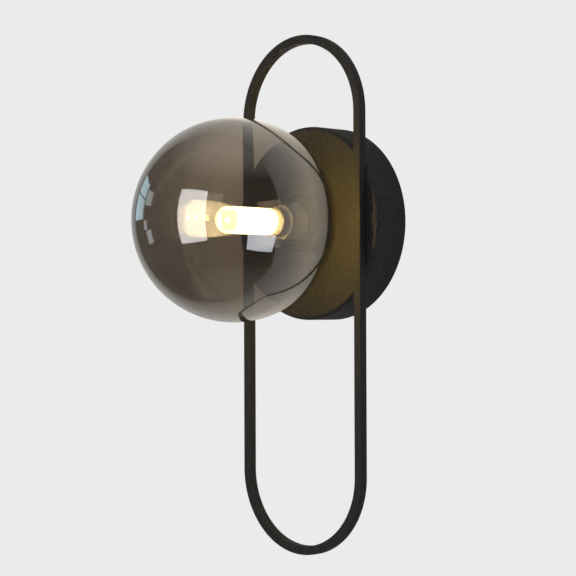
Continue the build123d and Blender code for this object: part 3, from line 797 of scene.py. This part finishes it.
class SCONCE_OT_blow_globe(bpy.types.Operator):
    """Blow the smoke glass globe"""
    bl_idname = "sconce.blow_globe"
    bl_label = "Blow the globe"

    def execute(self, context):
        sizes, shades = context.scene.sconce_sizes, context.scene.sconce_colours
        mesh = spun("globe_ball", globe_outline(sizes), GLOBE_SEGMENTS)
        mesh.materials.append(smoke_finish("smoke_glass", shades.smoke))
        globe = link("globe_ball", mesh)
        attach(globe, "globe")
        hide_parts("globe_glass")
        return {"FINISHED"}


class SCONCE_OT_turn_carrier(bpy.types.Operator):
    """Finish the carrier, nipple, nut, washer, circlip and seal"""
    bl_idname = "sconce.turn_carrier"
    bl_label = "Turn the carrier"

    def execute(self, context):
        sizes, shades = context.scene.sconce_sizes, context.scene.sconce_colours
        silver = turned_finish("turned_silver", shades.turned_silver)
        dress(silver, "hollow_nipple")
        body = spun("sleeve", sleeve_outline(sizes), SLEEVE_SEGMENTS)
        body.set_sharp_from_angle(angle=math.radians(25))
        start = -highest("globe_carrier").y + 1.8 * MM
        sleeve = grow("threaded_sleeve", thread_on_sleeve(), body, {
            "Crest Radius": box_size("globe_carrier").x / 2, "Ridge": sizes.thread_ridge,
            "Turns": sizes.thread_rise / sizes.thread_pitch, "Rise": sizes.thread_rise,
            "Thread Start": start, "Finish": silver})
        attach(sleeve, "fixture")
        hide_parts("globe_carrier")
        dress(rolled_finish("zinc_nut", shades.zinc_silver), "nipple_nut")
        dress(rolled_finish("spring_steel", shades.spring_grey), "lampholder_circlip", "nipple_washer")
        dress(moulded_finish("seal_rubber", shades.silicone_white, 1800.0, (0.5, 0.65)), "neck_seal")
        return {"FINISHED"}


class SCONCE_OT_fire_socket(bpy.types.Operator):
    """Finish the ceramic lampholder and its contacts"""
    bl_idname = "sconce.fire_socket"
    bl_label = "Fire the socket"

    def execute(self, context):
        shades = context.scene.sconce_colours
        dress(moulded_finish("socket_ceramic", shades.ceramic_white, 1300.0, (0.4, 0.6), 0.00006, 0.25),
              "lampholder_body")
        dress(rolled_finish("contact_brass", shades.brass_yellow), "lampholder_contacts")
        return {"FINISHED"}


class SCONCE_OT_build_lamp(bpy.types.Operator):
    """Build the lamp: base, pins, core, chips and clear cover"""
    bl_idname = "sconce.build_lamp"
    bl_label = "Build the lamp"

    def execute(self, context):
        sizes, shades = context.scene.sconce_sizes, context.scene.sconce_colours
        dress(moulded_finish("bulb_body", shades.lamp_white, 2600.0, (0.28, 0.4)), "bulb_base")
        dress(turned_finish("pin_metal", shades.pin_silver, 16000.0, (0.15, 0.25)), "bulb_pins")
        dress(board_finish("bulb_board", shades.board_white, shades.haze, shades.board_painted_glow),
              "bulb_core")
        core_low, core_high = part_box("bulb_core")
        middle_row = -(core_low.y + core_high.y) / 2 + sizes.chip_shift
        first = middle_row - sizes.chip_spacing * (sizes.chip_rows - 1) / 2
        last = first + sizes.chip_spacing * (sizes.chip_rows - 1)
        dress(cover_finish("clear_cover", shades.cover_clear, shades.haze, shades.cover_strength,
                           first - sizes.chip_length / 2, last + sizes.chip_length), "bulb_cover")
        chips = grow("lamp_chips", chip_rows(),
                     chip_shape(sizes.chip_length, sizes.chip_width, sizes.chip_height), {
                         "Rows": sizes.chip_rows, "Spacing": sizes.chip_spacing, "First Row": first,
                         "Side": core_high.z, "End": -core_low.y,
                         "Housing": moulded_finish("chip_housing", shades.lamp_white),
                         "Phosphor": phosphor_finish("chip_phosphor", shades.phosphor, shades.glow,
                                                     shades.chip_strength)})
        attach(chips, "lamp")
        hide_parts("bulb_chips")
        return {"FINISHED"}


class SCONCE_OT_plate_bracket(bpy.types.Operator):
    """Finish the wall bracket, cable bush, earth point and canopy screws"""
    bl_idname = "sconce.plate_bracket"
    bl_label = "Plate the bracket"

    def execute(self, context):
        shades = context.scene.sconce_colours
        along_strap = (math.pi / 2, 0.0, 0.0)
        dress(rolled_finish("zinc_sheet", shades.zinc_silver, along_strap, 1800.0), "wall_bracket")
        dress(moulded_finish("bush_rubber", shades.rubber_black, 1500.0, (0.55, 0.7)), "cable_bush")
        dress(rolled_finish("black_screws", shades.screw_black, rough=(0.4, 0.5)), "canopy_screws")
        dress(rolled_finish("zinc_earth", shades.zinc_silver), "earth_tag", "earth_washer", "earth_screw")
        return {"FINISHED"}


class SCONCE_OT_fit_terminals(bpy.types.Operator):
    """Finish the terminal block, its contacts and screws"""
    bl_idname = "sconce.fit_terminals"
    bl_label = "Fit the terminals"

    def execute(self, context):
        shades = context.scene.sconce_colours
        dress(moulded_finish("block_plastic", shades.block_white, 1600.0, (0.4, 0.55),
                             subsurface_weight=0.15, subsurface_scale=0.002), "terminal_block")
        dress(rolled_finish("terminal_brass", shades.brass_yellow), "terminal_contacts")
        dress(rolled_finish("terminal_zinc", shades.zinc_silver),
              "terminal_screws", "terminal_fixing_screw")
        return {"FINISHED"}


class SCONCE_OT_lay_leads(bpy.types.Operator):
    """Give the leads their insulation colours"""
    bl_idname = "sconce.lay_leads"
    bl_label = "Lay the leads"

    def execute(self, context):
        shades = context.scene.sconce_colours
        dress(moulded_finish("lead_brown", shades.lead_brown), "live_lead")
        dress(moulded_finish("lead_blue", shades.lead_blue), "neutral_lead")
        dress(moulded_finish("lead_green_yellow", shades.lead_green), "earth_lead")
        return {"FINISHED"}


class SCONCE_OT_set_stage(bpy.types.Operator):
    """Set the floor, backdrop, lamps and camera"""
    bl_idname = "sconce.set_stage"
    bl_label = "Set the stage"

    def execute(self, context):
        stage = context.scene.sconce_stage
        aim_camera(context.scene, stage)
        light_world(context.scene, stage)
        lay_floor(stage)
        hang_backdrop()
        hang_softbox(stage)
        darken_room()
        context.scene.view_settings.view_transform = "Standard"
        return {"FINISHED"}


# ---- Stage ----

GLOBE_MIDDLE = Vector((0.0, -0.0865, 0.0))
SENSOR_WIDTH = 36.0
SOFTBOX_SIZE = (0.592, 0.984)
SOFTBOX_TURN, SOFTBOX_LIFT, SOFTBOX_DISTANCE = -0.5, 2.2, 1.0
CARD_DISTANCE = 1.2
ROOM_RADIUS, ROOM_BACK = 1.3, 0.45

# name, turns and lifts in degrees, and colour of each card
CARDS = (("small_lamp", (62.0, 95.0), (-34.0, -17.0), (2.3, 2.4, 2.7)),
         ("window_upper", (-93.0, -73.0), (13.4, 21.0), (0.75, 1.05, 1.2)),
         ("window_lower", (-93.0, -73.0), (2.0, 12.7), (0.75, 1.05, 1.2)),
         ("window_top", (-71.0, -59.0), (10.0, 19.0), (0.7, 0.78, 0.8)),
         ("window_middle", (-71.0, -65.5), (-4.5, 1.0), (0.8, 0.88, 0.92)),
         ("window_low", (-67.5, -58.0), (-14.0, -5.3), (0.8, 0.88, 0.92)))


def aim_camera(scene, stage):
    """The photograph's view: placed by turn, lift and distance, and leaned by the roll."""
    turn, lift = stage.turn, stage.lift
    back = Vector((math.sin(turn) * math.cos(lift), -math.cos(turn) * math.cos(lift), math.sin(lift)))
    place = back * stage.distance + Vector((math.cos(turn), math.sin(turn), 0.0)) * stage.aside
    place.z += stage.height
    right = (-back).cross(Vector((0, 0, 1))).normalized()
    up = right.cross(-back)
    lean_right = right * math.cos(stage.roll) + up * math.sin(stage.roll)
    lean_up = up * math.cos(stage.roll) - right * math.sin(stage.roll)
    turned = Matrix((lean_right, lean_up, back)).transposed().to_4x4()
    lens = bpy.data.cameras.new("view")
    lens.lens = stage.lens
    lens.sensor_width = SENSOR_WIDTH
    lens.sensor_fit = "HORIZONTAL"
    lens.clip_start, lens.clip_end = 0.01, 50.0
    camera = bpy.data.objects.new("view", lens)
    camera.matrix_world = Matrix.Translation(place) @ turned
    scene.collection.objects.link(camera)
    scene.camera = camera


def light_world(scene, stage):
    """A pale ground for the camera, glass and metal, and an even light for everything else."""
    world = bpy.data.worlds.new("studio")
    world.use_nodes = True
    scene.world = world
    tree = world.node_tree
    ray = put(tree, "ShaderNodeLightPath").outputs
    seen = sum_up(tree, "MAXIMUM", ray["Is Camera Ray"],
                  sum_up(tree, "MAXIMUM", ray["Is Glossy Ray"], ray["Is Transmission Ray"]))
    even = put(tree, "ShaderNodeBackground", {"Color": (1.0, 1.0, 1.0, 1.0), "Strength": stage.room_light})
    ground = put(tree, "ShaderNodeBackground", {"Color": lit(stage.backdrop), "Strength": 1.0})
    both = put(tree, "ShaderNodeMixShader", {0: seen, 1: even.outputs[0], 2: ground.outputs[0]})
    tree.links.new(both.outputs[0], tree.nodes["World Output"].inputs["Surface"])


def stage_material(name, build):
    """A stage material whose surface is the shader that build makes from the tree and place."""
    material = bpy.data.materials.new(name)
    material.use_nodes = True
    tree = material.node_tree
    tree.nodes.remove(tree.nodes["Principled BSDF"])
    place = put(tree, "ShaderNodeTexCoord").outputs["Object"]
    tree.links.new(build(tree, place), tree.nodes["Material Output"].inputs["Surface"])
    return material


def lay_floor(stage):
    """A pale floor, low enough to stay out of the front view."""
    side, front, back, height = 3.5, -5.0, 2.0, -1.35

    def pale(tree, place):
        tone = tinted(tree, noise(tree, place, 3.0, 4.0), lit(stage.backdrop, 0.97), lit(stage.backdrop))
        return out(tree, "ShaderNodeBsdfDiffuse", {"Color": tone})

    floor = flat_sheet("floor", [(-side, back, height), (-side, front, height), (side, front, height),
                                 (side, back, height)], stage_material("floor_pale", pale))


def for_glass_only(piece):
    """Hides a stage piece from the camera and from light on matt surfaces."""
    for kind in ("camera", "diffuse", "volume_scatter", "shadow"):
        setattr(piece, "visible_" + kind, False)


def reflected_only(tree, shine):
    """Shows a shader only to rays that a surface has reflected; others pass."""
    ray = put(tree, "ShaderNodeLightPath").outputs
    mirrored = sum_up(tree, "GREATER_THAN", ray["Glossy Depth"], 0.5)
    clear = out(tree, "ShaderNodeBsdfTransparent")
    return out(tree, "ShaderNodeMixShader", {0: mirrored, 1: clear, 2: shine})


def hang_backdrop():
    """The wall as the glass shows it: pale, with a hole behind the canopy, and painted light and shade: the
    lamp's pool of light, bright patches, the sconce's shadow and a contact shadow round the canopy.
    """
    left, right, low, high = -1.6, 0.8, -1.3, 1.4
    notch_side, notch_top = 0.38, -0.42
    behind, hole_radius = 0.004, 0.0602
    outline = [(left, low), (left, high), (right, high), (right, notch_top), (notch_side, notch_top),
               (notch_side, low)]

    def near(tree, place, x, z, size):
        """1 at a spot of the wall, fading to 0 over a size."""
        parts = out(tree, "ShaderNodeVectorMath", {0: place, 1: (x, behind, z)},
                    operation="SUBTRACT")
        gap = put(tree, "ShaderNodeVectorMath", {0: parts}, operation="LENGTH").outputs["Value"]
        square = sum_up(tree, "POWER", sum_up(tree, "DIVIDE", gap, size), 2.0)
        return sum_up(tree, "EXPONENT", times(tree, square, -1.0))

    def wall(tree, place):
        rise = parts_of(tree, place)[2]
        gap = put(tree, "ShaderNodeVectorMath", {0: place}, operation="LENGTH").outputs["Value"]
        # Painted light: brighter near the lamp's axis and towards the top, darker further out.
        lamp_pool_falloff = sum_up(tree, "EXPONENT", sum_up(tree, "DIVIDE", gap, -0.35))
        level = times(tree, spread(tree, lamp_pool_falloff, 0.0, 1.0, 0.23, 0.68),
                       spread(tree, rise, -0.8, 0.8, 0.8, 1.12))
        level = times(tree, level, spread(tree, gap, 1.0, 1.4, 1.0, 0.4))
        # Painted contact shadow: darker close round the canopy's rim.
        level = times(tree, level, spread(tree, gap, 0.06, 0.11, 0.35, 1.0))
        # Painted light and shade: the lamp's pool of light, a bright patch above left of the canopy, the
        # sconce's shadow below left and golden lamp light right of the canopy.
        painted_lamp_pool = near(tree, place, -0.02, 0.02, 0.11)
        painted_bright_patch = near(tree, place, -0.085, 0.075, 0.055)
        dim = near(tree, place, -0.15, -0.045, 0.08)
        painted_golden_light = near(tree, place, 0.17, 0.0, 0.09)
        tone = tinted(tree, painted_lamp_pool, (1.0, 0.985, 0.955, 1.0), (1.4, 1.22, 0.9, 1.0))
        tone = tinted(tree, painted_bright_patch, tone, (2.1, 2.0, 1.85, 1.0))
        # Painted shadow of the sconce on the wall.
        tone = tinted(tree, times(tree, dim, 0.5), tone, (0.25, 0.24, 0.21, 1.0))
        tone = tinted(tree, painted_golden_light, tone, (1.75, 1.5, 1.1, 1.0))
        shine = out(tree, "ShaderNodeEmission", {"Color": tone, "Strength": level})
        clear = out(tree, "ShaderNodeBsdfTransparent")
        inside = sum_up(tree, "LESS_THAN", gap, hole_radius)
        return out(tree, "ShaderNodeMixShader", {0: inside, 1: shine, 2: clear})

    for_glass_only(flat_sheet("backdrop", [(x, behind, z) for x, z in outline],
                              stage_material("backdrop_painted_light", wall)))


def towards(turn, lift):
    """Direction by degrees from straight ahead to the right, and up."""
    turn, lift = math.radians(turn), math.radians(lift)
    return Vector((math.sin(turn) * math.cos(lift), -math.cos(turn) * math.cos(lift), math.sin(lift)))


def hang_softbox(stage):
    """One large soft lamp in front of the sconce."""
    lamp = bpy.data.lights.new("softbox", "AREA")
    lamp.shape = "RECTANGLE"
    lamp.size, lamp.size_y = SOFTBOX_SIZE
    lamp.energy = stage.softbox_light * math.pi * lamp.size * lamp.size_y
    softbox = bpy.data.objects.new("softbox", lamp)
    way = towards(SOFTBOX_TURN, SOFTBOX_LIFT)
    softbox.location = GLOBE_MIDDLE + way * SOFTBOX_DISTANCE
    softbox.rotation_euler = way.to_track_quat("Z", "Y").to_euler()
    bpy.context.scene.collection.objects.link(softbox)


def glow_card(name, turns, lifts, shade):
    """A card that only reflections see, between two turns and two lifts round the globe."""
    corners = [GLOBE_MIDDLE + towards(turns[i], lifts[j]) * CARD_DISTANCE
               for i, j in ((0, 0), (0, 1), (1, 1), (1, 0))]

    def even(tree, place):
        tone = tinted(tree, noise(tree, place, 3.0, 1.0), [0.92 * part for part in shade] + [1.0],
                      (*shade, 1.0))
        return reflected_only(tree, out(tree, "ShaderNodeEmission", {"Color": tone}))

    for_glass_only(flat_sheet(name, corners, stage_material(name, even)))


def darken_room():
    """The dim room in front of the wall, seen only in reflections, with its windows."""
    shape = bmesh.new()
    bmesh.ops.create_uvsphere(shape, u_segments=48, v_segments=24, radius=ROOM_RADIUS)
    bmesh.ops.delete(shape, geom=[v for v in shape.verts if v.co.y > ROOM_BACK], context="VERTS")
    mesh = bpy.data.meshes.new("dim_room")
    shape.to_mesh(mesh)
    shape.free()
    room = link("dim_room", mesh)

    def dim(tree, place):
        rise = parts_of(tree, place)[2]
        ceiling = spread(tree, rise, 0.62 * ROOM_RADIUS, 0.95 * ROOM_RADIUS, 0.0, 0.25)
        ground = spread(tree, rise, -0.75 * ROOM_RADIUS, -0.96 * ROOM_RADIUS, 0.0, 0.1)
        patch = spread(tree, noise(tree, place, 1.6, 3.0), 0.3, 0.7, 0.055, 0.08)
        level = sum_up(tree, "ADD", patch, sum_up(tree, "ADD", ceiling, ground))
        shine = put(tree, "ShaderNodeEmission", {"Color": (1.0, 0.98, 0.95, 1.0), "Strength": level})
        return reflected_only(tree, shine.outputs[0])

    mesh.materials.append(stage_material("dim_room", dim))
    for_glass_only(room)
    for card in CARDS:
        glow_card(*card)


# ---- Panel and main ----

OPERATORS = (SCONCE_OT_coat_canopy, SCONCE_OT_bend_ring, SCONCE_OT_blow_globe, SCONCE_OT_turn_carrier,
             SCONCE_OT_fire_socket, SCONCE_OT_build_lamp, SCONCE_OT_plate_bracket,
             SCONCE_OT_fit_terminals, SCONCE_OT_lay_leads, SCONCE_OT_set_stage)


class SCONCE_PT_panel(bpy.types.Panel):
    """Steps that finish the sconce"""
    bl_idname = "SCONCE_PT_panel"
    bl_label = "Globe wall sconce"
    bl_space_type = "VIEW_3D"
    bl_region_type = "UI"
    bl_category = "Sconce"

    def draw(self, context):
        for step in OPERATORS:
            self.layout.operator(step.bl_idname)
        for label in GROUPS:
            group, box = getattr(context.scene, label), self.layout.box()
            for name in group.__annotations__:
                box.prop(group, name)


GROUPS = {"sconce_sizes": SconceSizes, "sconce_colours": SconceColours, "sconce_stage": SconceStage}
CLASSES = (*GROUPS.values(), *OPERATORS, SCONCE_PT_panel)


def register():
    for kind in CLASSES:
        bpy.utils.register_class(kind)
    for label, kind in GROUPS.items():
        setattr(bpy.types.Scene, label, bpy.props.PointerProperty(type=kind))


def unregister():
    for label in GROUPS:
        delattr(bpy.types.Scene, label)
    for kind in reversed(CLASSES):
        bpy.utils.unregister_class(kind)


def plain(corners):
    return [list(corner) for corner in corners]


def main():
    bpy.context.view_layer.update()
    register()
    for step in OPERATORS:
        family, name = step.bl_idname.split(".")
        getattr(getattr(bpy.ops, family), name)()


if __name__ == "__main__":
    main()
